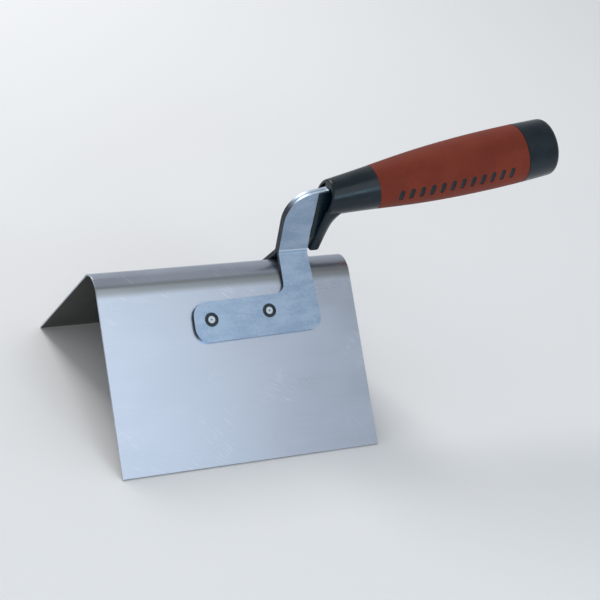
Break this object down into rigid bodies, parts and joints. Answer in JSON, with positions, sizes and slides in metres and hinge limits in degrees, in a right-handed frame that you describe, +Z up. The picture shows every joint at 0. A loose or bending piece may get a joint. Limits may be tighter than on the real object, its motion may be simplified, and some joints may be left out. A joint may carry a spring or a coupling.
{
  "type": "outside corner trowel",
  "caption": "Hand trowel for outside plaster corners: a bent steel blade with two flaps and a rounded ridge, a riveted two-plate bracket and a tilted round handle with a soft grip.",
  "frame": {"origin": "centre of the object's box, at its bottom, level with the blade's two long edges", "axes": "+X along the blade's ridge towards the handle, +Z up, +Y across the blade"},
  "size_m": [0.2316, 0.1276, 0.1339],
  "materials": {
    "blade_steel": "satin rolled stainless sheet",
    "bracket_steel": "stamped, zinc plated",
    "rivet_steel": "plated",
    "hard_plastic": "fine moulded grain",
    "soft_grip": "matte soft-touch"
  },
  "bodies": {
    "root": {"blade": "blade_steel", "near_bracket_plate": "bracket_steel", "far_bracket_plate": "bracket_steel", "near_front_rivet": "rivet_steel", "near_rear_rivet": "rivet_steel", "far_front_rivet": "rivet_steel", "far_rear_rivet": "rivet_steel", "handle_core": "hard_plastic", "soft_grip": "soft_grip", "end_cap": "hard_plastic"}
  },
  "joints": []
}
